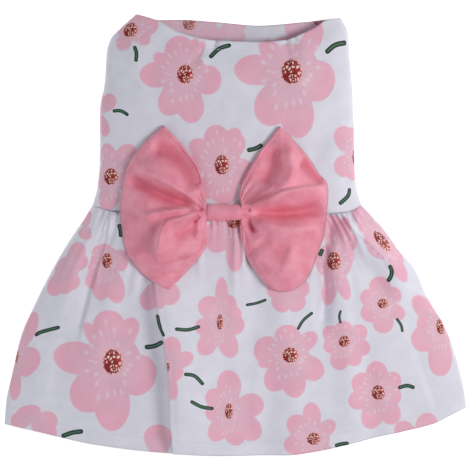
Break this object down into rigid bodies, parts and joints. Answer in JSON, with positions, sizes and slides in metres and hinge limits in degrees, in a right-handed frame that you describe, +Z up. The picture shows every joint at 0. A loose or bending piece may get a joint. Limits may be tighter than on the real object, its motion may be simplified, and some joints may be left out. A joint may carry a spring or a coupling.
{
  "type": "dog dress",
  "caption": "Sleeveless dress for a small dog, lying flat: scooped neck, waist seam, gathered flared skirt with one large pleat, and a bow at the waist.",
  "frame": {"origin": "on the surface that the dress lies on, under the middle of its footprint", "axes": "+Z up out of the back of the dress, +Y towards the neck, +X across the dress towards the right edge of the picture"},
  "size_m": [0.316, 0.3012, 0.0383],
  "materials": {
    "printed_cloth": "smooth woven cotton, white with pink blossoms",
    "bow_satin": "pink satin-faced cloth, soft sheen"
  },
  "bodies": {
    "root": {"bodice_back": "printed_cloth", "bodice_belly": "printed_cloth", "skirt_back": "printed_cloth", "skirt_belly": "printed_cloth", "bow_cloth": "bow_satin", "bow_band": "bow_satin"}
  },
  "joints": []
}
